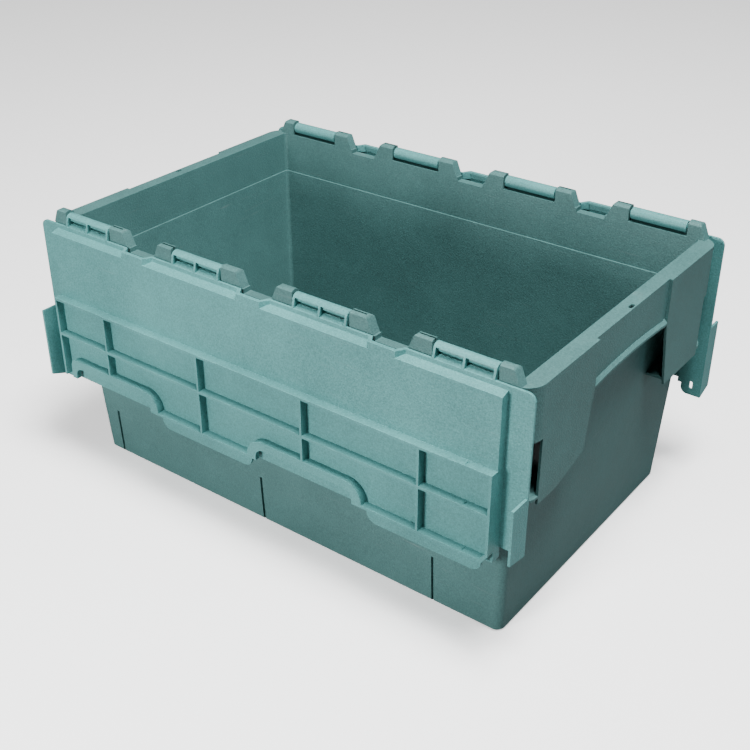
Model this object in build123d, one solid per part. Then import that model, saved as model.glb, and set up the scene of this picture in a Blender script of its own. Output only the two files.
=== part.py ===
"""Attached lid tote: a moulded tub with two hinged half lids that mesh along the middle when closed.

Millimetres, +Z up, origin at the middle of the base. The long side runs along X. Both lids are drawn
hanging open beside the long walls. A lid is laid out in its own terms: depth runs outward from the hinge
axis and drop runs down from it. When a lid is closed, depth points down and drop points to the middle.
"""
import os

from build123d import *

# Overall sizes
LID_LENGTH = 600.0
RIM_WIDTH = 373.0
RIM_HEIGHT = 285.5

# Tub: insets are measured from the outer edge of the rim
LID_OVERHANG = 4.0
MOUTH_INSET_X = 18.5
MOUTH_INSET_Y = 9.9
BASE_INSET_X = 27.5
BASE_INSET_Y = 20.5
WALL = 2.7
SKIN = 2.5
MOUTH_RADIUS = 4.0
BASE_RADIUS = 9.0
RIM_RADIUS = 20.0
BASE_CHAMFER = 2.0
FOOT_BORDER = 24.0
FOOT_RECESS = 1.0
STEP_DROP = 49.5
STEP_OFFSET = 2.0
RAIL_DROP = 4.5

# Skirt, corner blocks and hand holds
SKIRT_DROP = 48.5
SKIRT_RIB = 2.2
BLOCK_DROP = 122.5
BLOCK_END_INSET = 21.5
BLOCK_LEAN = 14.0
BLOCK_SHELF_LOW = 115.5
BLOCK_SHELF_HIGH = 113.0
CORNER_DROP = 6.0
BLOCK_CUT_LENGTH = 44.0
BLOCK_CUT_HEIGHT = 13.0
HOLD_HALF_WIDTH = 74.0
HOLD_RECESS = 3.5
HOLD_LIP_HEIGHT = 5.5
HOLD_LIP_REACH = 3.4
HOLD_LIP_BEVEL = 3.0
HOLD_CHAMFER = 2.0
HOLD_ARCH = 3.6
SEAL_SLOT_LENGTH = 9.0
SEAL_SLOT_WIDTH = 4.0
SEAL_SLOT_INSET = 7.0

# Wall grooves that stop nested totes from jamming
GROOVE_SHARE = 0.406
GROOVE_SHIFT = -26.0
GROOVE_WIDTH = 3.2
GROOVE_DEPTH = 2.6
GROOVE_TOP = 57.0

# Hinges
GROUP_COUNT = 4
GROUP_SHARE = 0.2562
POST_GAP_HALF = 33.0
POST_TOP_REACH = 51.0
POST_FOOT_REACH = 60.0
END_POST_CUT = 5.0
POST_CORNER = 4.5
AXIS_INSET = 3.5
POST_OUTER = 4.8
POST_SWING_GAP = 0.5
PIN_RADIUS = 2.5
PIN_GRIP = 14.0
PIN_SLOT_WIDTH = 2.0
PIN_SLOT_REACH = 16.0
BORE_CLEARANCE = 0.08
BARREL_RADIUS = 6.4
BARREL_WALL = 1.8
BARREL_END_GAP = 2.0
BARREL_WEB = 2.2

# Lids: depths are outer faces, drops are distances below the hinge axis
SHEET = 2.5
REST_GAP = 0.3
WING_DEPTH = 8.2
PANEL_RISE = 9.0
RIB_HEIGHT = 9.0
EDGE_TO_AXIS = 6.8
PANEL_END_GAP = 2.5
LIP_WIDTH = 2.2
LIP_EXTRA = 1.5
TAB_HALF_LENGTH = 57.0
TAB_SPLAY = 5.5
TAB_DROP = 11.0
TAB_SLOPE = 2.5
MEETING_GAP = 0.6
RIB = 2.6
RIBS_FROM_MIDDLE = (97.4, 55.7, 6.0)
CROSS_RIB = 2.5
MARK_INSET = 28.0
MARK_WIDTH = 1.4
MARK_DEPTH = 0.9
ZONE_SHARE = 1 / 4.5

# Meshing edge: arched zones take the tongues of the other lid
ARCH_FROM_MIDDLE = 26.5
ARCH_BAND = 9.0
ARCH_LEG_INSIDE = 7.0
ARCH_LEG_OUTSIDE = 4.2
ARCH_RADIUS = 20.0
ARCH_OPENING_RADIUS = 10.0
END_LEG = 19.5
END_LEG_GAP = 12.5
END_LEG_RADIUS = 8.0
TONGUE_GAP = 0.4
TONGUE_REACH = 13.5
TONGUE_INSET = 3.7
TONGUE_OUTER_INSET = 1.2
TONGUE_SHIFT = 2.5
TONGUE_RADIUS = 11.0
POCKET_END_GAP = 0.7
POCKET_SIDE_GAP = 2.0
POCKET_FACE_GAP = 0.6
HUMP_HEIGHT = 8.5

# Lid ends: one end reaches past the middle and the other stops short of it
WING_RADIUS = 8.0
LONG_WING = 12.0
SHORT_WING = 13.0
LONG_WING_CLEARANCE = 1.8
FLANGE_START = 74.4
LONG_FLANGE_DEPTH = 26.5
SHORT_FLANGE_DEPTH = 30.5
LID_SLOT_LENGTH = 9.6
LID_SLOT_WIDTH = 3.8

# Values that follow from the ones above
RIM_LENGTH = LID_LENGTH - 2 * LID_OVERHANG
MOUTH_LENGTH = RIM_LENGTH - 2 * MOUTH_INSET_X
MOUTH_WIDTH = RIM_WIDTH - 2 * MOUTH_INSET_Y
BASE_LENGTH = RIM_LENGTH - 2 * BASE_INSET_X
BASE_WIDTH = RIM_WIDTH - 2 * BASE_INSET_Y
STEP_HEIGHT = RIM_HEIGHT - STEP_DROP
SKIRT_FOOT = RIM_HEIGHT - SKIRT_DROP
BLOCK_FOOT = RIM_HEIGHT - BLOCK_DROP
RAIL_HEIGHT = RIM_HEIGHT - RAIL_DROP
AXIS_Y = RIM_WIDTH / 2 - AXIS_INSET
AXIS_Z = RIM_HEIGHT + REST_GAP + WING_DEPTH
STRIP_DEPTH = WING_DEPTH - SHEET
PANEL_DEPTH = WING_DEPTH + PANEL_RISE
PANEL_BACK = PANEL_DEPTH - SHEET
RIB_DEPTH = PANEL_DEPTH + RIB_HEIGHT
PANEL_HALF = MOUTH_LENGTH / 2 - PANEL_END_GAP
LID_END = LID_LENGTH / 2
EDGE_DROP = AXIS_Y - MEETING_GAP / 2
RIB_DROPS = [AXIS_Y - distance for distance in RIBS_FROM_MIDDLE]
LAST_RIB = RIB_DROPS[-1]
LAST_RIB_END = LAST_RIB + RIB
ARCH_DROP = AXIS_Y - ARCH_FROM_MIDDLE
ZONE = LID_LENGTH * ZONE_SHARE
TONGUE_FACE = PANEL_DEPTH + TONGUE_GAP
POST_RADIUS = (STRIP_DEPTH ** 2 + EDGE_TO_AXIS ** 2) ** 0.5 - POST_SWING_GAP
POST_INNER = AXIS_Y - MOUTH_WIDTH / 2
GROUP_PITCH = LID_LENGTH * GROUP_SHARE
GROUP_CENTRES = [GROUP_PITCH * (i - (GROUP_COUNT - 1) / 2) for i in range(GROUP_COUNT)]
BARREL_HALF = POST_GAP_HALF - BARREL_END_GAP
PIN_HALF_LENGTH = POST_GAP_HALF + PIN_GRIP
EXTRA = 1.0


def box(x0, x1, y0, y1, z0, z1):
    """A box between two corners."""
    size = (abs(x1 - x0), abs(y1 - y0), abs(z1 - z0))
    return Pos((x0 + x1) / 2, (y0 + y1) / 2, (z0 + z1) / 2) * Box(*size)


def rounded_prism(length, width, radius, z0, z1):
    """An upright prism with rounded corners, centred on the Z axis."""
    return Pos(0, 0, z0) * extrude(RectangleRounded(length, width, radius), z1 - z0)


def tapered_prism(low, high):
    """A solid between two rounded rectangles, each given as length, width, radius and height."""
    sections = [Pos(0, 0, z) * RectangleRounded(length, width, radius) for length, width, radius, z in (low, high)]
    return loft(sections, ruled=True)


def plate_yz(points, x0, x1):
    """A polygon of (y, z) points, carried along X."""
    face = make_face(Polyline(*[(min(x0, x1), y, z) for y, z in points], close=True))
    return extrude(face, abs(x1 - x0), dir=(1, 0, 0))


def upright(sketch, y0, y1):
    """A sketch of (x, z) terms, carried along Y."""
    plane = Plane(origin=(0, y1, 0), x_dir=(1, 0, 0), z_dir=(0, -1, 0))
    return extrude(plane * sketch, y1 - y0)


def rod(x0, x1, radius, y, z):
    """A round bar along X."""
    return Pos((x0 + x1) / 2, y, z) * Rot(0, 90, 0) * Cylinder(radius, abs(x1 - x0))


def turned(shape):
    """The same shape, half a turn about Z."""
    return Rot(0, 0, 180) * shape


# ---------------------------------------------------------------- tub

def tub_outside():
    """The tub's outside: a bevelled foot, a tapered body and an upright band at the top."""
    step_length = MOUTH_LENGTH + 2 * (WALL - STEP_OFFSET)
    step_width = MOUTH_WIDTH + 2 * (WALL - STEP_OFFSET)
    step = (step_length, step_width, MOUTH_RADIUS + WALL, STEP_HEIGHT)
    rise = BASE_CHAMFER / STEP_HEIGHT
    bevel_length = BASE_LENGTH + (step_length - BASE_LENGTH) * rise
    bevel_width = BASE_WIDTH + (step_width - BASE_WIDTH) * rise
    bevel = (bevel_length, bevel_width, BASE_RADIUS, BASE_CHAMFER)
    narrow = 2 * BASE_CHAMFER
    foot = (bevel_length - narrow, bevel_width - narrow, BASE_RADIUS - BASE_CHAMFER, 0)
    band = rounded_prism(
        MOUTH_LENGTH + 2 * WALL, MOUTH_WIDTH + 2 * WALL, MOUTH_RADIUS + WALL, STEP_HEIGHT, RIM_HEIGHT
    )
    return tapered_prism(foot, bevel) + tapered_prism(bevel, step) + band


def tub_cavity():
    """The space inside the tub."""
    step_length = MOUTH_LENGTH - 2 * STEP_OFFSET
    step_width = MOUTH_WIDTH - 2 * STEP_OFFSET
    lower = tapered_prism(
        (BASE_LENGTH - 2 * WALL, BASE_WIDTH - 2 * WALL, BASE_RADIUS - WALL, 0),
        (step_length, step_width, MOUTH_RADIUS, STEP_HEIGHT + EXTRA),
    )
    lower -= box(-RIM_LENGTH, RIM_LENGTH, -RIM_WIDTH, RIM_WIDTH, -EXTRA, WALL + FOOT_RECESS)
    upper = rounded_prism(MOUTH_LENGTH, MOUTH_WIDTH, MOUTH_RADIUS, STEP_HEIGHT + EXTRA, RIM_HEIGHT + EXTRA)
    return lower + upper


def notch_ranges():
    """The stretches between neighbouring hinge groups, where the rail is low."""
    pairs = zip(GROUP_CENTRES[:-1], GROUP_CENTRES[1:])
    return [(left + POST_FOOT_REACH, right - POST_FOOT_REACH) for left, right in pairs]


def skirt_ring(outside):
    """The hollow rim and its skirt, with ribs under the hinge posts."""
    ring = rounded_prism(RIM_LENGTH, RIM_WIDTH, RIM_RADIUS, SKIRT_FOOT, RIM_HEIGHT)
    hollow = rounded_prism(
        RIM_LENGTH - 2 * SKIN, RIM_WIDTH - 2 * SKIN, RIM_RADIUS - SKIN, SKIRT_FOOT - EXTRA, RIM_HEIGHT - WALL
    )
    hollow -= outside
    for start, end in notch_ranges():
        hollow -= box(start - WALL, end + WALL, -RIM_WIDTH, RIM_WIDTH, RAIL_HEIGHT - WALL, RIM_HEIGHT)
    for centre in GROUP_CENTRES:
        for place in (centre - POST_GAP_HALF - SKIRT_RIB, centre + POST_GAP_HALF):
            hollow -= box(place, place + SKIRT_RIB, -RIM_WIDTH, RIM_WIDTH, SKIRT_FOOT + WALL, RIM_HEIGHT)
    return ring - hollow


def corner_block(is_cut):
    """The block on the +X, +Y corner: a plate, a shelf open at both ends and the deeper skirt past them."""
    far = RIM_WIDTH / 2
    end = far - BLOCK_END_INSET
    face = RIM_LENGTH / 2
    lean_foot = HOLD_HALF_WIDTH + BLOCK_LEAN
    outline = [
        (HOLD_HALF_WIDTH, SKIRT_FOOT),
        (lean_foot, BLOCK_FOOT),
        (end, BLOCK_FOOT),
        (end, SKIRT_FOOT + EXTRA),
        (HOLD_HALF_WIDTH, SKIRT_FOOT + EXTRA),
    ]
    if is_cut:
        share = BLOCK_CUT_HEIGHT / (SKIRT_FOOT - BLOCK_FOOT)
        outline[1:2] = [
            (lean_foot - BLOCK_LEAN * share, BLOCK_FOOT + BLOCK_CUT_HEIGHT),
            (lean_foot + BLOCK_CUT_LENGTH, BLOCK_FOOT),
        ]
    plate = plate_yz(outline, face - SKIN, face)
    low = RIM_HEIGHT - BLOCK_SHELF_LOW
    high = RIM_HEIGHT - BLOCK_SHELF_HIGH
    start = lean_foot + 0.7 * BLOCK_CUT_LENGTH if is_cut else lean_foot
    start_z = low + (high - low) * (start - lean_foot) / (far - lean_foot)
    shelf_points = [(start, start_z - SKIN), (far, high - SKIN), (far, high), (start, start_z)]
    plan = rounded_prism(RIM_LENGTH, RIM_WIDTH, RIM_RADIUS, BLOCK_FOOT, SKIRT_FOOT + EXTRA)
    shelf = plate_yz(shelf_points, BASE_LENGTH / 2, face) & plan
    low = SKIRT_FOOT - CORNER_DROP
    corner = rounded_prism(RIM_LENGTH, RIM_WIDTH, RIM_RADIUS, low, SKIRT_FOOT + EXTRA)
    corner -= rounded_prism(
        RIM_LENGTH - 2 * SKIN, RIM_WIDTH - 2 * SKIN, RIM_RADIUS - SKIN, low - EXTRA, SKIRT_FOOT + 2 * EXTRA
    )
    corner &= box(face - RIM_RADIUS, face + EXTRA, end - EXTRA, far + EXTRA, low, SKIRT_FOOT + EXTRA)
    return plate + shelf + corner


def hand_hold():
    """The skirt between the corner blocks of the +X side: set back, with an arched and thickened lower lip."""
    face = RIM_LENGTH / 2
    back = face - HOLD_RECESS
    half = HOLD_HALF_WIDTH
    slope = HOLD_CHAMFER
    low = SKIRT_FOOT - EXTRA
    shares = [step / 6 for step in range(-6, 7)]
    arch_line = [((half - slope) * share, low + HOLD_ARCH * (1 - share ** 2)) for share in shares]
    arch_line = [(-half, low + slope * 0.6), *arch_line, (half, low + slope * 0.6)]
    hold = plate_yz([*arch_line, (half, RIM_HEIGHT), (-half, RIM_HEIGHT)], back - SKIN, back)
    for side in (-1, 1):
        start = min(side * half, side * (half + SKIN))
        hold += box(back - SKIN, face - SKIN / 2, start, start + SKIN, SKIRT_FOOT, RIM_HEIGHT)
    lip_line = [(y, z + HOLD_LIP_HEIGHT) for y, z in reversed(arch_line)]
    lip = plate_yz([*arch_line, *lip_line], back - SKIN, back + HOLD_LIP_REACH)
    tops = [side for side in lip.faces() if side.normal_at().Z > 0.3]
    upper = [edge for side in tops for edge in side.edges() if edge.center().X > back + HOLD_LIP_REACH - 0.01]
    return hold + chamfer(upper, HOLD_LIP_BEVEL)


def hand_hold_cut():
    """The room taken out of the outer face of the +X side between its blocks."""
    face = RIM_LENGTH / 2
    half = HOLD_HALF_WIDTH
    return box(face - HOLD_RECESS, face + EXTRA, -half, half, SKIRT_FOOT - EXTRA, RIM_HEIGHT + EXTRA)


def seal_slot():
    """The slot for a seal, through the rim in the middle of the +X side."""
    middle = RIM_LENGTH / 2 - SEAL_SLOT_INSET
    slot = SlotOverall(SEAL_SLOT_LENGTH, SEAL_SLOT_WIDTH, rotation=90)
    return Pos(middle, 0, RIM_HEIGHT - 2 * WALL) * extrude(slot, 3 * WALL)


def post_outline(centre, side):
    """The outline of one hinge post from the long side; side is -1 for its left post and 1 for its right."""
    is_end = abs(centre + side * GROUP_PITCH) > max(GROUP_CENTRES) + EXTRA
    cut = END_POST_CUT if is_end else 0
    top_z = AXIS_Z + POST_RADIUS
    foot_z = RAIL_HEIGHT - WALL / 2
    inner = centre + side * POST_GAP_HALF
    top = centre + side * (POST_TOP_REACH - cut)
    foot = centre + side * (POST_FOOT_REACH - cut)
    points = [(inner, foot_z), (inner, top_z), (top, top_z), (foot, RAIL_HEIGHT), (foot, foot_z)]
    face = make_face(Polyline(*points, close=True))
    corner = face.vertices().sort_by_distance((top, top_z, 0))[0]
    return fillet(corner, POST_CORNER)


def has_slot(index, side):
    """Neighbouring groups have the lead-in slot on opposite posts."""
    return side == (1 if index % 2 == 0 else -1)


def front_posts():
    """All the front hinge posts, with the pin bores and the lead-in slots above them."""
    half = RIM_LENGTH / 2
    section = rod(-half, half, POST_RADIUS, -AXIS_Y, AXIS_Z)
    section += box(-half, half, -AXIS_Y, -AXIS_Y + POST_INNER, RAIL_HEIGHT - WALL, AXIS_Z)
    section += box(-half, half, -AXIS_Y - AXIS_INSET, -AXIS_Y, RAIL_HEIGHT - WALL, AXIS_Z)
    section &= box(-half, half, -AXIS_Y - POST_OUTER, -AXIS_Y + POST_INNER, 0, 2 * RIM_HEIGHT)
    posts = Part()
    for index, centre in enumerate(GROUP_CENTRES):
        for side in (-1, 1):
            post = upright(post_outline(centre, side), -AXIS_Y - POST_RADIUS, -AXIS_Y + POST_RADIUS) & section
            if has_slot(index, side):
                start = centre + side * (POST_GAP_HALF - EXTRA)
                end = centre + side * (POST_GAP_HALF + PIN_SLOT_REACH)
                slot = PIN_SLOT_WIDTH / 2
                top = AXIS_Z + POST_RADIUS + EXTRA
                post -= box(start, end, -AXIS_Y - slot, -AXIS_Y + slot, AXIS_Z, top)
            posts += post
    for centre in GROUP_CENTRES:
        posts -= front_pin(centre)
    return posts


def groove_bars(low_depth, high_depth, width):
    """Bars along the slope of the front wall at the groove places, between two depths into the wall."""
    slope = (MOUTH_WIDTH / 2 + WALL - STEP_OFFSET - BASE_WIDTH / 2) / STEP_HEIGHT
    start = -BASE_WIDTH / 2
    end = start - slope * GROOVE_TOP
    points = [
        (start + low_depth, 0),
        (end + low_depth, GROOVE_TOP),
        (end + high_depth, GROOVE_TOP),
        (start + high_depth, 0),
    ]
    pitch = BASE_LENGTH * GROOVE_SHARE
    places = [GROOVE_SHIFT + pitch * i for i in (-1, 0, 1)]
    return Part() + [plate_yz(points, x - width / 2, x + width / 2) for x in places]


def container_body():
    """The whole moulded tub."""
    outside = tub_outside()
    end_pieces = corner_block(False) + mirror(corner_block(True), about=Plane.XZ)
    tub = outside + skirt_ring(outside)
    tub -= hand_hold_cut()
    tub -= turned(hand_hold_cut())
    tub += end_pieces + hand_hold()
    tub += turned(end_pieces + hand_hold())
    tub -= tub_cavity()
    for start, end in notch_ranges():
        tub -= box(start, end, -RIM_WIDTH, RIM_WIDTH, RAIL_HEIGHT, RIM_HEIGHT + EXTRA)
    posts = front_posts()
    tub += posts
    tub += mirror(posts, about=Plane.XZ)
    ribs = groove_bars(WALL / 2, GROOVE_DEPTH + WALL, GROOVE_WIDTH + 2 * WALL)
    ribs -= box(-BASE_LENGTH, BASE_LENGTH, -BASE_WIDTH, BASE_WIDTH, -EXTRA, WALL)
    grooves = groove_bars(-2 * EXTRA, GROOVE_DEPTH, GROOVE_WIDTH)
    tub += ribs
    tub += turned(ribs)
    tub -= grooves
    tub -= turned(grooves)
    tub -= seal_slot()
    tub -= turned(seal_slot())
    foot_length = BASE_LENGTH - 2 * FOOT_BORDER
    foot_width = BASE_WIDTH - 2 * FOOT_BORDER
    return tub - rounded_prism(foot_length, foot_width, BASE_RADIUS, -EXTRA, FOOT_RECESS)


# ---------------------------------------------------------------- lids

def lid_box(x0, x1, depth0, depth1, drop0, drop1):
    """A box of the front lid, in depth outward from the axis and drop below it."""
    return box(x0, x1, -AXIS_Y - depth1, -AXIS_Y - depth0, AXIS_Z - drop1, AXIS_Z - drop0)


def lid_plate(sketch, depth0, depth1):
    """A sketch of (x, z) terms about the hinge axis, carried from one depth to another."""
    return upright(Pos(0, AXIS_Z) * sketch, -AXIS_Y - depth1, -AXIS_Y - depth0)


def lid_polygon(points):
    """A flat outline of (x, drop) points, for lid_plate."""
    return make_face(Polyline(*[(x, -drop) for x, drop in points], close=True))


def soft_rectangle(x0, x1, drop0, drop1, radius):
    """A flat rectangle with round corners in (x, drop), for lid_plate."""
    shape = RectangleRounded(x1 - x0, drop1 - drop0, radius)
    return Pos((x0 + x1) / 2, -(drop0 + drop1) / 2) * shape


def lid_profile(points, x0, x1):
    """A polygon of (depth, drop) points, carried along X."""
    return plate_yz([(-AXIS_Y - depth, AXIS_Z - drop) for depth, drop in points], x0, x1)


def tab_recess(index, grow):
    """The splayed room around one hinge group, grown on all sides to make the sheet around it."""
    centre = GROUP_CENTRES[index]
    splay = [TAB_HALF_LENGTH + grow, TAB_HALF_LENGTH + TAB_SPLAY + grow]
    far = 2 * LID_LENGTH
    left = [far, far] if index == 0 else splay
    right = [far, far] if index == GROUP_COUNT - 1 else splay
    drops = [TAB_DROP + grow, TAB_DROP + TAB_SLOPE + grow]
    depths = [WING_DEPTH - grow, PANEL_DEPTH - grow]
    slices = []
    for i, depth in enumerate(depths):
        outline = lid_polygon([
            (centre - left[i], -EDGE_TO_AXIS),
            (centre + right[i], -EDGE_TO_AXIS),
            (centre + right[i], drops[i]),
            (centre - left[i], drops[i]),
        ])
        plane = Plane(origin=(0, -AXIS_Y - depth, AXIS_Z), x_dir=(1, 0, 0), z_dir=(0, -1, 0))
        slices.append(plane * outline)
    recess = loft(slices, ruled=True)
    if grow == 0:
        recess += lid_plate(lid_polygon([
            (centre - left[1], -EDGE_TO_AXIS),
            (centre + right[1], -EDGE_TO_AXIS),
            (centre + right[1], drops[1]),
            (centre - left[1], drops[1]),
        ]), PANEL_DEPTH, PANEL_DEPTH + EXTRA)
    return recess


def lid_tray():
    """The sunken panel with its end walls, its hinge tabs and the lip between the tabs."""
    far = 2 * LID_LENGTH
    tray = lid_box(-PANEL_HALF, PANEL_HALF, STRIP_DEPTH, PANEL_DEPTH, EDGE_TO_AXIS, EDGE_DROP)
    hollow = lid_box(-PANEL_HALF + SHEET, PANEL_HALF - SHEET, 0, PANEL_BACK, 0, far)
    lip_end = EDGE_TO_AXIS + LIP_WIDTH
    lips = lid_box(-PANEL_HALF, PANEL_HALF, PANEL_BACK - LIP_EXTRA, PANEL_DEPTH, EDGE_TO_AXIS, lip_end)
    for index in range(GROUP_COUNT):
        tray -= tab_recess(index, 0)
        hollow -= tab_recess(index, SHEET)
        lips -= tab_recess(index, 0)
    hollow -= lips
    return tray - hollow


def lid_ribs():
    """The stiffening grid: two long ribs, the cross ribs and the end walls."""
    foot = PANEL_DEPTH - SHEET / 2
    first, second, last = RIB_DROPS
    ribs = lid_box(-PANEL_HALF, PANEL_HALF, foot, RIB_DEPTH, first, first + RIB)
    ribs += lid_box(-PANEL_HALF, PANEL_HALF, foot, RIB_DEPTH, second, second + RIB)
    for i in range(4):
        x = ZONE * (i - 1.5)
        end = ARCH_DROP + RIB if i % 2 == 0 else LAST_RIB_END
        ribs += lid_box(x - CROSS_RIB / 2, x + CROSS_RIB / 2, foot, RIB_DEPTH, first, end)
    ribs += lid_box(-PANEL_HALF, -PANEL_HALF + SHEET, foot, RIB_DEPTH, first, LAST_RIB_END)
    ribs += lid_box(PANEL_HALF - SHEET, PANEL_HALF, foot, RIB_DEPTH, first, LAST_RIB_END - HUMP_HEIGHT)
    return ribs


def ledge_marks():
    """The short shallow notch across each long rib near the right end."""
    x = PANEL_HALF - MARK_INSET
    near = PANEL_DEPTH + RIB_HEIGHT / 6
    far = PANEL_DEPTH + 3 * RIB_HEIGHT / 4
    marks = [lid_box(x, x + MARK_WIDTH, near, far, drop - EXTRA, drop + MARK_DEPTH) for drop in RIB_DROPS]
    return Part() + marks


def arch(start, at_end):
    """An arched zone: a wide band that leaves room for the other lid's tongue."""
    foot = PANEL_DEPTH - SHEET / 2
    far = LAST_RIB_END + 2 * ARCH_RADIUS
    right = start + ZONE + ARCH_LEG_OUTSIDE
    left = -PANEL_HALF + END_LEG_GAP if at_end else start - ARCH_LEG_OUTSIDE
    open_right = start + ZONE - ARCH_LEG_INSIDE
    open_left = -PANEL_HALF + END_LEG if at_end else start + ARCH_LEG_INSIDE
    band = lid_plate(soft_rectangle(left, right, ARCH_DROP, far, ARCH_RADIUS), foot, RIB_DEPTH)
    if at_end:
        corner = soft_rectangle(left, left + 3 * ARCH_RADIUS, ARCH_DROP, far, END_LEG_RADIUS)
        band += lid_plate(corner, foot, RIB_DEPTH)
    opening = soft_rectangle(open_left, open_right, ARCH_DROP + ARCH_BAND, far, ARCH_OPENING_RADIUS)
    band -= lid_plate(opening, PANEL_DEPTH, RIB_DEPTH + EXTRA)
    band &= lid_box(left, right, 0, RIB_DEPTH + EXTRA, ARCH_DROP, LAST_RIB_END)
    pocket_drop = AXIS_Y - TONGUE_REACH - POCKET_END_GAP
    pocket_left = start + TONGUE_INSET - POCKET_SIDE_GAP
    pocket_right = start + ZONE - POCKET_SIDE_GAP
    if at_end:
        pocket_left = start - POCKET_SIDE_GAP / 2
        pocket_right = start + ZONE - TONGUE_INSET
    pocket_face = TONGUE_FACE + SHEET + POCKET_FACE_GAP
    pocket = lid_box(pocket_left, pocket_right, PANEL_DEPTH, pocket_face, pocket_drop, far)
    return band, pocket


def tongue(start, end):
    """A thin tongue with round corners, one sheet below the panel, that reaches under the other lid."""
    back = TONGUE_FACE + SHEET
    tip = AXIS_Y + TONGUE_REACH
    root = LAST_RIB
    plate = lid_plate(soft_rectangle(start, end, root - TONGUE_RADIUS, tip, TONGUE_RADIUS), TONGUE_FACE, back)
    plate &= lid_box(start, end, 0, RIB_DEPTH, root, tip)
    heel = lid_box(start, end, PANEL_DEPTH - SHEET / 2, back, root, EDGE_DROP)
    return plate + heel


def lid_edge():
    """The free edge, which meshes with the other lid: arch, tongue, arch, tongue."""
    foot = PANEL_DEPTH - SHEET / 2
    starts = [ZONE * (i - 2) for i in range(4)]
    first_band, first_pocket = arch(starts[0], True)
    second_band, second_pocket = arch(starts[2], False)
    edge = first_band + second_band
    edge += tongue(starts[1] + TONGUE_INSET, starts[2] - TONGUE_INSET)
    edge += tongue(starts[3] + TONGUE_INSET + TONGUE_SHIFT, starts[3] + ZONE - TONGUE_OUTER_INSET)
    hump_start = starts[3] + ZONE
    for start, end in ((starts[1], starts[2]), (starts[3], hump_start)):
        edge += lid_box(start, end, foot, RIB_DEPTH, LAST_RIB, LAST_RIB_END)
    hump = [
        (hump_start - EXTRA, LAST_RIB_END),
        (hump_start - EXTRA, LAST_RIB),
        (hump_start, LAST_RIB),
        (hump_start + 0.4 * HUMP_HEIGHT, LAST_RIB - 0.7 * HUMP_HEIGHT),
        (PANEL_HALF, LAST_RIB - HUMP_HEIGHT),
        (PANEL_HALF, LAST_RIB_END - HUMP_HEIGHT),
        (hump_start + 0.4 * HUMP_HEIGHT + RIB, LAST_RIB_END - 0.7 * HUMP_HEIGHT),
        (hump_start + RIB, LAST_RIB_END),
    ]
    edge += lid_plate(lid_polygon(hump), foot, RIB_DEPTH)
    return edge, first_pocket + second_pocket


def wing(side, reach):
    """The border sheet at one end of the lid; side is -1 for the left end and 1 for the right."""
    root = side * (PANEL_HALF - SHEET)
    end = side * LID_END
    points = [(root, EDGE_TO_AXIS), (end, EDGE_TO_AXIS), (end, min(reach, EDGE_DROP)), (root, min(reach, EDGE_DROP))]
    outline = lid_polygon(points)
    outline = fillet(outline.vertices().sort_by_distance((end, -EDGE_TO_AXIS, 0))[0], WING_RADIUS)
    sheet = lid_plate(outline, STRIP_DEPTH, WING_DEPTH)
    if reach > EDGE_DROP:
        inner = side * (PANEL_HALF + LONG_WING_CLEARANCE)
        points = [(inner, EDGE_DROP - EXTRA), (end, EDGE_DROP - EXTRA), (end, reach), (inner, reach)]
        outline = lid_polygon(points)
        outline = fillet(outline.vertices().sort_by_distance((inner, -reach, 0))[0], WING_RADIUS)
        sheet += lid_plate(outline, STRIP_DEPTH, WING_DEPTH)
    return sheet


def flange(side, depth, reach, slope):
    """The flange that hangs over the end of the rim when the lid is closed."""
    start = AXIS_Y - FLANGE_START
    points = [(STRIP_DEPTH, start), (depth, start), (depth, reach - slope), (WING_DEPTH, reach), (STRIP_DEPTH, reach)]
    end = side * LID_END
    return lid_profile(points, end - side * SHEET, end)


def barrel(centre):
    """One hollow barrel: a shell open on its outer side, three webs and the gusset that joins it to its tab."""
    left = centre - BARREL_HALF
    right = centre + BARREL_HALF
    hollow = BARREL_RADIUS - BARREL_WALL
    far = 2 * BARREL_RADIUS
    shell = rod(left, right, BARREL_RADIUS, -AXIS_Y, AXIS_Z) - rod(left, right, hollow, -AXIS_Y, AXIS_Z)
    shell -= lid_profile([(0, 0), (far, -far * 0.58), (far, far), (0.35 * far, far)], left - EXTRA, right + EXTRA)
    gusset = [
        (0.6, hollow + 0.2),
        (2.4, hollow),
        (STRIP_DEPTH + EXTRA, EDGE_TO_AXIS + EXTRA),
        (STRIP_DEPTH + EXTRA, EDGE_TO_AXIS + 2 * BARREL_WALL),
        (1.5, BARREL_RADIUS - 0.2),
    ]
    shell += lid_profile(gusset, left, right)
    web_fill = [
        (BARREL_RADIUS * 0.5, -BARREL_RADIUS * 0.5),
        (BARREL_RADIUS * 0.98, 0),
        (WING_DEPTH, EDGE_TO_AXIS),
        (STRIP_DEPTH, EDGE_TO_AXIS + SHEET),
        (0, BARREL_RADIUS * 0.9),
    ]
    middle = centre - BARREL_WEB / 2
    for start in (left, middle, right - BARREL_WEB):
        shell += rod(start, start + BARREL_WEB, BARREL_RADIUS, -AXIS_Y, AXIS_Z)
        shell += lid_profile(web_fill, start, start + BARREL_WEB)
    return shell - rod(left - EXTRA, right + EXTRA, PIN_RADIUS + BORE_CLEARANCE, -AXIS_Y, AXIS_Z)


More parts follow.
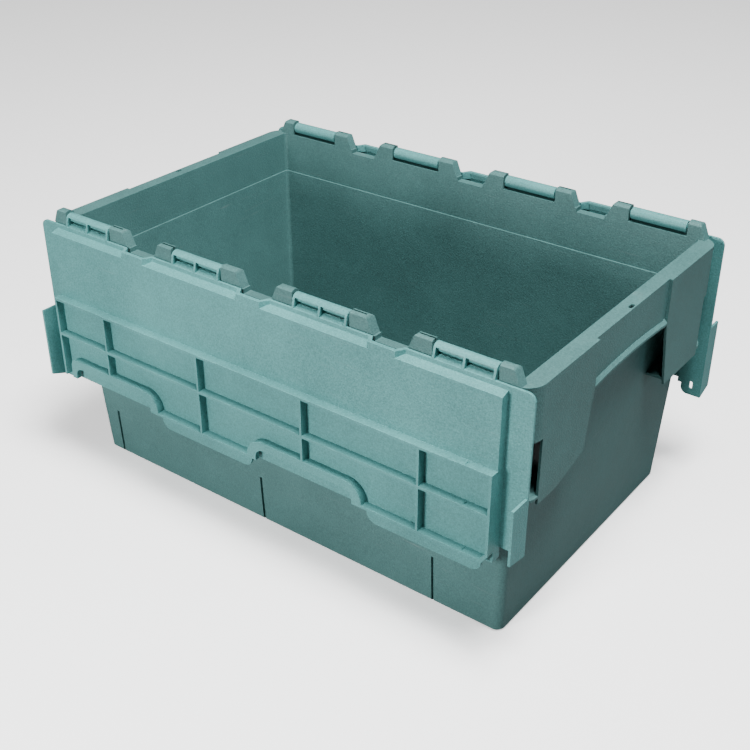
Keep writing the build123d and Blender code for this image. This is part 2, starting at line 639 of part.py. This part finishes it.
def front_lid():
    """The whole moulded lid, hanging open in front of the tub."""
    edge, pockets = lid_edge()
    lid = lid_tray() + lid_ribs() + edge
    lid -= pockets
    lid -= ledge_marks()
    long_reach = AXIS_Y + LONG_WING
    short_reach = AXIS_Y - SHORT_WING
    lid += wing(-1, long_reach)
    lid += wing(1, short_reach)
    lid += flange(-1, LONG_FLANGE_DEPTH, long_reach, 7.0)
    lid += flange(1, SHORT_FLANGE_DEPTH, short_reach, 4.0)
    for centre in GROUP_CENTRES:
        lid += barrel(centre)
    slot = Pos(-RIM_LENGTH / 2 + SEAL_SLOT_INSET + EXTRA, -AXIS_Y) * SlotOverall(
        LID_SLOT_LENGTH, LID_SLOT_WIDTH, rotation=90
    )
    return lid - lid_plate(slot, 0, PANEL_DEPTH)


def front_pin(centre):
    """One hinge pin, held by both posts of a group."""
    return rod(centre - PIN_HALF_LENGTH, centre + PIN_HALF_LENGTH, PIN_RADIUS, -AXIS_Y, AXIS_Z)


def write(name, shape):
    """Writes one node."""
    export_step(shape, "parts/" + name + ".step")


os.makedirs("parts", exist_ok=True)
write("container_body", container_body())
lid = front_lid()
write("lid_front", lid)
write("lid_rear", turned(lid))
for number, centre in enumerate(GROUP_CENTRES, start=1):
    pin = front_pin(centre)
    write(f"hinge_pin_front_{number}", pin)
    write(f"hinge_pin_rear_{number}", mirror(pin, about=Plane.XZ))
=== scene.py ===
"""Attached lid tote: soft moulded edges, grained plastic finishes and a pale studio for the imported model."""
import math

import bmesh
import bpy
import numpy as np
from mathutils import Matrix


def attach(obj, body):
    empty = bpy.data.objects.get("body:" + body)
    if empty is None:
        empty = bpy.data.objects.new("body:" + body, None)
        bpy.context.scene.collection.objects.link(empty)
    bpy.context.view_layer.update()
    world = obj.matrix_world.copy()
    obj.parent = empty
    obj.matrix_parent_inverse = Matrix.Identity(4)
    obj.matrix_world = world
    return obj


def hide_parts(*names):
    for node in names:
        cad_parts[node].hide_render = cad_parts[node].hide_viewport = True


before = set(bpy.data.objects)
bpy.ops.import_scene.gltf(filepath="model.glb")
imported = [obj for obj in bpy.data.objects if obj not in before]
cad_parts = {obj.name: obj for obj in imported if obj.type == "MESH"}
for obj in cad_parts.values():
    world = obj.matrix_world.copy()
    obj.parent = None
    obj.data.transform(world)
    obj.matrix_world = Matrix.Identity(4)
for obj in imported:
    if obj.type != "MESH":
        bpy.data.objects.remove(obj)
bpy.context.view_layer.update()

bl_info = {
    "name": "Attached Lid Tote",
    "version": (1, 0, 0),
    "blender": (4, 5, 0),
    "location": "3D View > Sidebar > Tote",
    "description": "Finishes a hinged lid tote and sets it on a studio floor",
    "category": "Object",
}

TUB_NODE = "container_body"
LID_NODES = {"lid_front": "front_lid", "lid_rear": "rear_lid"}
PIN_NODES = [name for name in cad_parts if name.startswith("hinge_pin")]
MERGE_DISTANCE = 2e-6
FLAT_ANGLE = math.radians(0.4)
SMOOTH_ANGLE = math.radians(28)
SHINE = 0.3

# Grain and mottle of the plastic: noise scales are per metre
FLOW_SCALE = 55.0
FLOW_SHARE = 0.8
MOTTLE_SCALE = 9.0
MOTTLE_SHARE = 0.7
FLECK_SCALE = 620.0
MOTTLE_RANGE = (0.55, 1.15)
DARK_SHARE = 0.72
PALE_SHARE = 1.30
MOTTLE_SMOOTHER = 0.06
MOTTLE_ROUGHER = 0.07
GRAIN_STRENGTH = 0.6

# Scuffs: streaks that run along the length and show only in patches, with a few specks
STREAK_STRETCH = (6.0, 6.0, 160.0)
STREAK_TURN = math.radians(14)
STREAK_SCALE = 2.4
STREAK_RANGE = (0.60, 0.72)
PATCH_SCALE = 7.0
PATCH_RANGE = (0.48, 0.68)
SPECK_SCALE = 420.0
SPECK_RANGE = (0.66, 0.74)
SPECK_SHARE = 0.35
SCUFF_WHITE = 0.25
SCUFF_SHARE = 0.45
SCUFF_ROUGHER = 0.18

# Each plastic: its roughness, and the seed that shifts its pattern so that no two pieces match
TUB_ROUGHNESS = 0.50
LID_ROUGHNESS = 0.47
PIN_ROUGHNESS = 0.40
EDGE_SMOOTHER = 0.08
TUB_SEED = 3.0
LID_SEED = 7.0
PIN_SEED = 11.0
SEED_SHIFT = (1.0, 0.37, 0.11)

# Places in a colour Mix node's lists of sockets
MIX_FACTOR = 0
MIX_FIRST = 6
MIX_SECOND = 7
MIX_RESULT = 2

# Lights and camera, in metres and degrees
KEY_PLACE = (-0.22, -1.75, 0.50)
KEY_SIZE = 0.4
TOP_PLACE = (0.62, -0.30, 2.6)
TOP_SIZE = 0.9
SIDE_PLACE = (2.6, 0.5, 1.1)
SIDE_SIZE = 1.1
SIDE_COLOUR = (0.74, 0.92, 1.0)
UPPER_TARGET = (0, 0, 0.2)
MIDDLE_TARGET = (0, 0, 0.15)
FLOOR_ROUGHNESS = 0.7
SENSOR_WIDTH = 36
CAMERA_PLACE = (0.6733, -0.9005, 0.770)
CAMERA_AZIMUTH = 36.91
CAMERA_ELEVATION = 30.37
CAMERA_LENS = 56.2


class ToteFinish(bpy.types.PropertyGroup):
    """Sizes and colours of the moulded plastic."""

    # Painted shade and light: tub and lids are one plastic. The tub's colour is set darker to paint shade over
    # the whole tub, and the lids' colour paler to paint light on them.
    tub_shaded_colour: bpy.props.FloatVectorProperty(
        name="Tub colour", description="Base colour of the tub's plastic",
        subtype="COLOR", size=3, min=0, max=1, default=(0.054, 0.134, 0.130))
    lid_lit_colour: bpy.props.FloatVectorProperty(
        name="Lid colour", description="Base colour of the lids' plastic",
        subtype="COLOR", size=3, min=0, max=1, default=(0.074, 0.226, 0.222))
    pin_colour: bpy.props.FloatVectorProperty(
        name="Pin colour", description="Base colour of the hinge pins",
        subtype="COLOR", size=3, min=0, max=1, default=(0.074, 0.232, 0.226))
    edge_width: bpy.props.FloatProperty(
        name="Edge softness", description="Width of the small rounding on every moulded edge",
        subtype="DISTANCE", unit="LENGTH", default=0.0007)
    # Painted highlight: the lids' bevelled edges, convex and concave alike, take a paler copy of their
    # plastic.
    lid_edge_highlight: bpy.props.FloatProperty(
        name="Lid edge paleness", description="How much paler the lids' rubbed edges are than their faces",
        subtype="FACTOR", default=1.9)
    # Painted highlight: the tub's bevelled edges, convex and concave alike, take a paler copy of its plastic.
    tub_edge_highlight: bpy.props.FloatProperty(
        name="Tub edge paleness", description="How much paler the tub's rubbed edges are than its faces",
        subtype="FACTOR", default=1.35)
    grain_size: bpy.props.FloatProperty(
        name="Grain size", description="Distance between the bumps of the moulded grain",
        subtype="DISTANCE", unit="LENGTH", default=0.0016)
    grain_depth: bpy.props.FloatProperty(
        name="Grain depth", description="Height of the moulded grain",
        subtype="DISTANCE", unit="LENGTH", default=0.0007)
    wear: bpy.props.FloatProperty(
        name="Wear", description="How strongly handling scuffs and dust show",
        subtype="FACTOR", min=0, max=1, default=0.5)


class ToteStage(bpy.types.PropertyGroup):
    """Floor and light around the tote."""

    floor_size: bpy.props.FloatProperty(
        name="Floor size", description="Side of the square studio floor",
        subtype="DISTANCE", unit="LENGTH", default=16.0)
    floor_colour: bpy.props.FloatVectorProperty(
        name="Floor colour", description="Colour of the studio floor",
        subtype="COLOR", size=3, min=0, max=1, default=(0.92, 0.92, 0.92))
    floor_bounce: bpy.props.FloatProperty(
        name="Floor bounce", description="Share of the light on the floor that it throws back onto the tote",
        subtype="FACTOR", min=0, max=1, default=0.18)
    floor_glow: bpy.props.FloatProperty(
        name="Floor glow",
        description="How much the floor glows in the picture; it sheds none of this on the tote",
        subtype="FACTOR", default=0.8)
    key_power: bpy.props.FloatProperty(
        name="Key light", description="Power of the low soft light close in front",
        subtype="POWER", unit="POWER", default=38.0)
    top_power: bpy.props.FloatProperty(
        name="Top light", description="Power of the soft light above the right front",
        subtype="POWER", unit="POWER", default=185.0)
    side_power: bpy.props.FloatProperty(
        name="Side light", description="Power of the cool light at the right, behind the front lid's plane",
        subtype="POWER", unit="POWER", default=14.0)
    sky_strength: bpy.props.FloatProperty(
        name="Sky strength", description="Brightness of the even light from all round",
        subtype="FACTOR", default=0.04)


# ---------------------------------------------------------------- shader groups

def new_group(name, inputs, outputs):
    """An empty shader node group with float or colour sockets; gives the group and its two end nodes."""
    group = bpy.data.node_groups.new(name, "ShaderNodeTree")
    for label, kind, value in inputs:
        socket = group.interface.new_socket(label, in_out="INPUT", socket_type=kind)
        socket.default_value = value
    for label, kind in outputs:
        group.interface.new_socket(label, in_out="OUTPUT", socket_type=kind)
    return group, group.nodes.new("NodeGroupInput"), group.nodes.new("NodeGroupOutput")


def add(tree, kind, **values):
    """A node with its properties set, and its sockets where a key names one."""
    node = tree.nodes.new(kind)
    for key, value in values.items():
        if hasattr(node, key):
            setattr(node, key, value)
        else:
            node.inputs[key.replace("_", " ")].default_value = value
    return node


def noise(tree, vector, scale, detail=3.0, roughness=0.55):
    """A noise texture on a vector."""
    node = add(tree, "ShaderNodeTexNoise", Scale=scale, Detail=detail, Roughness=roughness)
    tree.links.new(vector, node.inputs["Vector"])
    return node.outputs["Fac"]


def remap(tree, value, low, high, to_low=0.0, to_high=1.0):
    """A value moved from one range to another and held inside it."""
    node = add(tree, "ShaderNodeMapRange")
    tree.links.new(value, node.inputs["Value"])
    for label, number in (("From Min", low), ("From Max", high), ("To Min", to_low), ("To Max", to_high)):
        node.inputs[label].default_value = number
    return node.outputs["Result"]


def combine(tree, operation, first, second):
    """Two values, or a value and a number, put together by a maths node."""
    node = add(tree, "ShaderNodeMath", operation=operation)
    for socket, value in zip(node.inputs, (first, second)):
        if isinstance(value, bpy.types.NodeSocket):
            tree.links.new(value, socket)
        else:
            socket.default_value = value
    return node.outputs["Value"]


def grain_group():
    """Moulded grain: fine pebbles over a slow unevenness of the flow of the plastic."""
    group, start, end = new_group(
        "Moulded Grain",
        [("Vector", "NodeSocketVector", (0, 0, 0)), ("Size", "NodeSocketFloat", 0.0016)],
        [("Height", "NodeSocketFloat"), ("Mottle", "NodeSocketFloat")])
    vector = start.outputs["Vector"]
    scale = combine(group, "DIVIDE", 1.0, start.outputs["Size"])
    pebbles = add(group, "ShaderNodeTexNoise", Detail=2.0, Roughness=0.6)
    group.links.new(vector, pebbles.inputs["Vector"])
    group.links.new(scale, pebbles.inputs["Scale"])
    flow = noise(group, vector, FLOW_SCALE)
    height = combine(group, "ADD", pebbles.outputs["Fac"], combine(group, "MULTIPLY", flow, FLOW_SHARE))
    flecks = noise(group, vector, FLECK_SCALE, 2.0, 0.6)
    clouds = noise(group, vector, MOTTLE_SCALE, 6.0, 0.62)
    mottle = combine(group, "ADD", combine(group, "MULTIPLY", clouds, MOTTLE_SHARE), flecks)
    group.links.new(height, end.inputs["Height"])
    group.links.new(remap(group, mottle, *MOTTLE_RANGE), end.inputs["Mottle"])
    return group


def scuff_group():
    """Handling scuffs: thin streaks along the length that show only in patches."""
    group, start, end = new_group(
        "Handling Scuffs",
        [("Vector", "NodeSocketVector", (0, 0, 0)), ("Amount", "NodeSocketFloat", 0.5)],
        [("Mask", "NodeSocketFloat")])
    stretch = add(group, "ShaderNodeMapping")
    stretch.inputs["Scale"].default_value = STREAK_STRETCH
    stretch.inputs["Rotation"].default_value = (0.0, STREAK_TURN, 0.0)
    group.links.new(start.outputs["Vector"], stretch.inputs["Vector"])
    vector = start.outputs["Vector"]
    streaks = remap(group, noise(group, stretch.outputs["Vector"], STREAK_SCALE, 4.0, 0.7), *STREAK_RANGE)
    patches = remap(group, noise(group, vector, PATCH_SCALE, 4.0), *PATCH_RANGE)
    specks = remap(group, noise(group, vector, SPECK_SCALE, 2.0), *SPECK_RANGE)
    both = combine(group, "MULTIPLY", streaks, patches)
    both = combine(group, "ADD", both, combine(group, "MULTIPLY", specks, SPECK_SHARE))
    mask = combine(group, "MULTIPLY", both, start.outputs["Amount"])
    group.links.new(mask, end.inputs["Mask"])
    return group


def plastic(name, colour, finish, groups, roughness, seed, paler=1.0):
    """Moulded plastic: base colour varied by mottle, paler scuffs, and grain as a bump."""
    grain, scuffs = groups
    # A factor above 1 gives the paler copy that paints the edge highlight.
    colour = [paler * channel for channel in colour]
    material = bpy.data.materials.new(name)
    material.use_nodes = True
    tree = material.node_tree
    shader = tree.nodes["Principled BSDF"]
    coordinates = add(tree, "ShaderNodeTexCoord")
    place = add(tree, "ShaderNodeMapping")
    place.inputs["Location"].default_value = [seed * share for share in SEED_SHIFT]
    tree.links.new(coordinates.outputs["Object"], place.inputs["Vector"])
    vector = place.outputs["Vector"]
    grain_node = add(tree, "ShaderNodeGroup", node_tree=grain)
    grain_node.inputs["Size"].default_value = finish.grain_size
    tree.links.new(vector, grain_node.inputs["Vector"])
    scuff_node = add(tree, "ShaderNodeGroup", node_tree=scuffs)
    scuff_node.inputs["Amount"].default_value = finish.wear
    tree.links.new(vector, scuff_node.inputs["Vector"])
    shade = add(tree, "ShaderNodeMix", data_type="RGBA")
    dark = [DARK_SHARE * channel for channel in colour]
    pale = [PALE_SHARE * channel for channel in colour]
    shade.inputs[MIX_FIRST].default_value = (*dark, 1)
    shade.inputs[MIX_SECOND].default_value = (*pale, 1)
    tree.links.new(grain_node.outputs["Mottle"], shade.inputs[MIX_FACTOR])
    worn = add(tree, "ShaderNodeMix", data_type="RGBA")
    scuffed = [SCUFF_WHITE + (1 - SCUFF_WHITE) * channel for channel in colour]
    worn.inputs[MIX_SECOND].default_value = (*scuffed, 1)
    mask = scuff_node.outputs["Mask"]
    tree.links.new(combine(tree, "MULTIPLY", mask, SCUFF_SHARE), worn.inputs[MIX_FACTOR])
    tree.links.new(shade.outputs[MIX_RESULT], worn.inputs[MIX_FIRST])
    tree.links.new(worn.outputs[MIX_RESULT], shader.inputs["Base Color"])
    smooth = roughness - MOTTLE_SMOOTHER
    rough = remap(tree, grain_node.outputs["Mottle"], 0.0, 1.0, smooth, roughness + MOTTLE_ROUGHER)
    rough = combine(tree, "ADD", rough, combine(tree, "MULTIPLY", mask, SCUFF_ROUGHER))
    tree.links.new(rough, shader.inputs["Roughness"])
    shader.inputs["Specular IOR Level"].default_value = SHINE
    bump = add(tree, "ShaderNodeBump", Strength=GRAIN_STRENGTH, Distance=finish.grain_depth)
    tree.links.new(grain_node.outputs["Height"], bump.inputs["Height"])
    tree.links.new(bump.outputs["Normal"], shader.inputs["Normal"])
    return material


def shader_groups():
    """The two shared groups, made once."""
    grain = bpy.data.node_groups.get("Moulded Grain") or grain_group()
    scuffs = bpy.data.node_groups.get("Handling Scuffs") or scuff_group()
    return grain, scuffs


# ---------------------------------------------------------------- pieces

def soft_edged_copy(node, name, width):
    """A merged copy of a node whose sharp edges get a small rounding."""
    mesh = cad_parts[node].data.copy()
    mesh.name = name
    if mesh.attributes.get("custom_normal"):
        mesh.attributes.remove(mesh.attributes["custom_normal"])
    mesh.materials.clear()
    work = bmesh.new()
    work.from_mesh(mesh)
    bmesh.ops.remove_doubles(work, verts=work.verts, dist=MERGE_DISTANCE)
    bmesh.ops.dissolve_limit(work, angle_limit=FLAT_ANGLE, verts=work.verts, edges=work.edges)
    work.to_mesh(mesh)
    work.free()
    piece = bpy.data.objects.new(name, mesh)
    bpy.context.scene.collection.objects.link(piece)
    mesh.polygons.foreach_set("use_smooth", np.ones(len(mesh.polygons), dtype=bool))
    mesh.set_sharp_from_angle(angle=SMOOTH_ANGLE)
    bevel = piece.modifiers.new("Soft edges", "BEVEL")
    bevel.width = width
    bevel.segments = 2
    bevel.limit_method = "ANGLE"
    bevel.angle_limit = SMOOTH_ANGLE
    bevel.use_clamp_overlap = True
    bevel.harden_normals = True
    # The bevel's faces take the second material, the paler copy that paints a highlight along the edges.
    bevel.material = 1
    return piece


def coat(piece, name, colour, finish, roughness, seed, paleness):
    """The piece's plastic, and the same plastic a little paler on its bevelled edges, as a painted highlight.
    """
    groups = shader_groups()
    piece.data.materials.append(plastic(name, colour, finish, groups, roughness, seed))
    smoother = roughness - EDGE_SMOOTHER
    highlighted = plastic(name + " Edge", colour, finish, groups, smoother, seed, paleness)
    piece.data.materials.append(highlighted)


class TOTE_OT_tub(bpy.types.Operator):
    """Makes the moulded tub with soft edges and grained plastic"""

    bl_idname = "tote.tub"
    bl_label = "Make Tub"

    def execute(self, context):
        finish = context.scene.tote_finish
        piece = soft_edged_copy(TUB_NODE, "tub", finish.edge_width)
        paleness = finish.tub_edge_highlight
        # The darker tub colour paints shade; the paler edge copy paints a highlight.
        coat(piece, "Tub Plastic", finish.tub_shaded_colour, finish, TUB_ROUGHNESS, TUB_SEED, paleness)
        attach(piece, "container")
        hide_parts(TUB_NODE)
        return {"FINISHED"}


class TOTE_OT_lids(bpy.types.Operator):
    """Makes both hinged half lids with soft edges and grained plastic"""

    bl_idname = "tote.lids"
    bl_label = "Make Lids"

    def execute(self, context):
        finish = context.scene.tote_finish
        for number, (node, body) in enumerate(LID_NODES.items()):
            piece = soft_edged_copy(node, "moulded_" + node, finish.edge_width)
            name = f"Lid Plastic {number + 1}"
            seed = LID_SEED + number
            coat(piece, name, finish.lid_lit_colour, finish, LID_ROUGHNESS, seed, finish.lid_edge_highlight)
            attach(piece, body)
            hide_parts(node)
        return {"FINISHED"}


class TOTE_OT_pins(bpy.types.Operator):
    """Gives the hinge pins their plain pale plastic"""

    bl_idname = "tote.pins"
    bl_label = "Finish Pins"

    def execute(self, context):
        finish = context.scene.tote_finish
        groups = shader_groups()
        material = plastic("Pin Plastic", finish.pin_colour, finish, groups, PIN_ROUGHNESS, PIN_SEED)
        for name in PIN_NODES:
            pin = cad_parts[name]
            pin.data.materials.clear()
            pin.data.materials.append(material)
        return {"FINISHED"}


def area_light(name, place, target, size, power):
    """A square area light turned from its place towards a target."""
    data = bpy.data.lights.new(name, "AREA")
    data.shape = "SQUARE"
    data.size = size
    data.energy = power
    light = bpy.data.objects.new(name, data)
    bpy.context.scene.collection.objects.link(light)
    light.location = place
    offset = np.array(target) - np.array(place)
    distance = float(np.linalg.norm(offset))
    light.rotation_euler = (math.acos(-offset[2] / distance), 0, math.atan2(-offset[0], offset[1]))
    return light


class TOTE_OT_stage(bpy.types.Operator):
    """Makes the pale floor, the soft studio light and the camera"""

    bl_idname = "tote.stage"
    bl_label = "Make Stage"

    def execute(self, context):
        stage = context.scene.tote_stage
        half = stage.floor_size / 2
        corners = np.array([[-1, -1, 0], [1, -1, 0], [1, 1, 0], [-1, 1, 0]], dtype=float) * half
        mesh = bpy.data.meshes.new("studio_floor")
        mesh.from_pydata(corners.tolist(), [], [(0, 1, 2, 3)])
        floor = bpy.data.objects.new("studio_floor", mesh)
        context.scene.collection.objects.link(floor)
        material = bpy.data.materials.new("Studio Floor")
        material.use_nodes = True
        tree = material.node_tree
        shader = tree.nodes["Principled BSDF"]
        shader.inputs["Roughness"].default_value = FLOOR_ROUGHNESS
        shader.inputs["Emission Color"].default_value = (*stage.floor_colour, 1)
        in_view = add(tree, "ShaderNodeLightPath").outputs["Is Camera Ray"]
        seen = add(tree, "ShaderNodeMix", data_type="RGBA")
        seen.inputs[MIX_FIRST].default_value = (*[stage.floor_bounce] * 3, 1)
        seen.inputs[MIX_SECOND].default_value = (*stage.floor_colour, 1)
        tree.links.new(in_view, seen.inputs[MIX_FACTOR])
        tree.links.new(seen.outputs[MIX_RESULT], shader.inputs["Base Color"])
        glow = combine(tree, "MULTIPLY", in_view, stage.floor_glow)
        tree.links.new(glow, shader.inputs["Emission Strength"])
        mesh.materials.append(material)
        area_light("key", KEY_PLACE, UPPER_TARGET, KEY_SIZE, stage.key_power)
        area_light("top", TOP_PLACE, UPPER_TARGET, TOP_SIZE, stage.top_power)
        side = area_light("side", SIDE_PLACE, MIDDLE_TARGET, SIDE_SIZE, stage.side_power)
        side.data.color = SIDE_COLOUR
        world = bpy.data.worlds.new("Studio")
        world.use_nodes = True
        sky = world.node_tree.nodes["Background"]
        sky.inputs["Color"].default_value = (1, 1, 1, 1)
        sky.inputs["Strength"].default_value = stage.sky_strength
        context.scene.world = world
        data = bpy.data.cameras.new("camera")
        data.lens = CAMERA_LENS
        data.sensor_width = SENSOR_WIDTH
        camera = bpy.data.objects.new("camera", data)
        context.scene.collection.objects.link(camera)
        camera.location = CAMERA_PLACE
        camera.rotation_euler = (math.radians(90 - CAMERA_ELEVATION), 0, math.radians(CAMERA_AZIMUTH))
        context.scene.camera = camera
        return {"FINISHED"}


class TOTE_PT_panel(bpy.types.Panel):
    """Lists the tote's steps and sizes in the sidebar"""

    bl_idname = "TOTE_PT_panel"
    bl_label = "Attached Lid Tote"
    bl_space_type = "VIEW_3D"
    bl_region_type = "UI"
    bl_category = "Tote"

    def draw(self, context):
        for settings in (context.scene.tote_finish, context.scene.tote_stage):
            for key in settings.__annotations__:
                self.layout.prop(settings, key)
        for step in STEPS:
            self.layout.operator(step.bl_idname)


STEPS = (TOTE_OT_tub, TOTE_OT_lids, TOTE_OT_pins, TOTE_OT_stage)
CLASSES = (ToteFinish, ToteStage, *STEPS, TOTE_PT_panel)


def register():
    """Registers the classes and hangs both groups of settings on the scene."""
    for item in CLASSES:
        bpy.utils.register_class(item)
    bpy.types.Scene.tote_finish = bpy.props.PointerProperty(type=ToteFinish)
    bpy.types.Scene.tote_stage = bpy.props.PointerProperty(type=ToteStage)


def unregister():
    """Undoes register."""
    del bpy.types.Scene.tote_stage
    del bpy.types.Scene.tote_finish
    for item in reversed(CLASSES):
        bpy.utils.unregister_class(item)


def main():
    """Registers the add-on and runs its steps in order."""
    register()
    bpy.ops.tote.tub()
    bpy.ops.tote.lids()
    bpy.ops.tote.pins()
    bpy.ops.tote.stage()


if __name__ == "__main__":
    main()
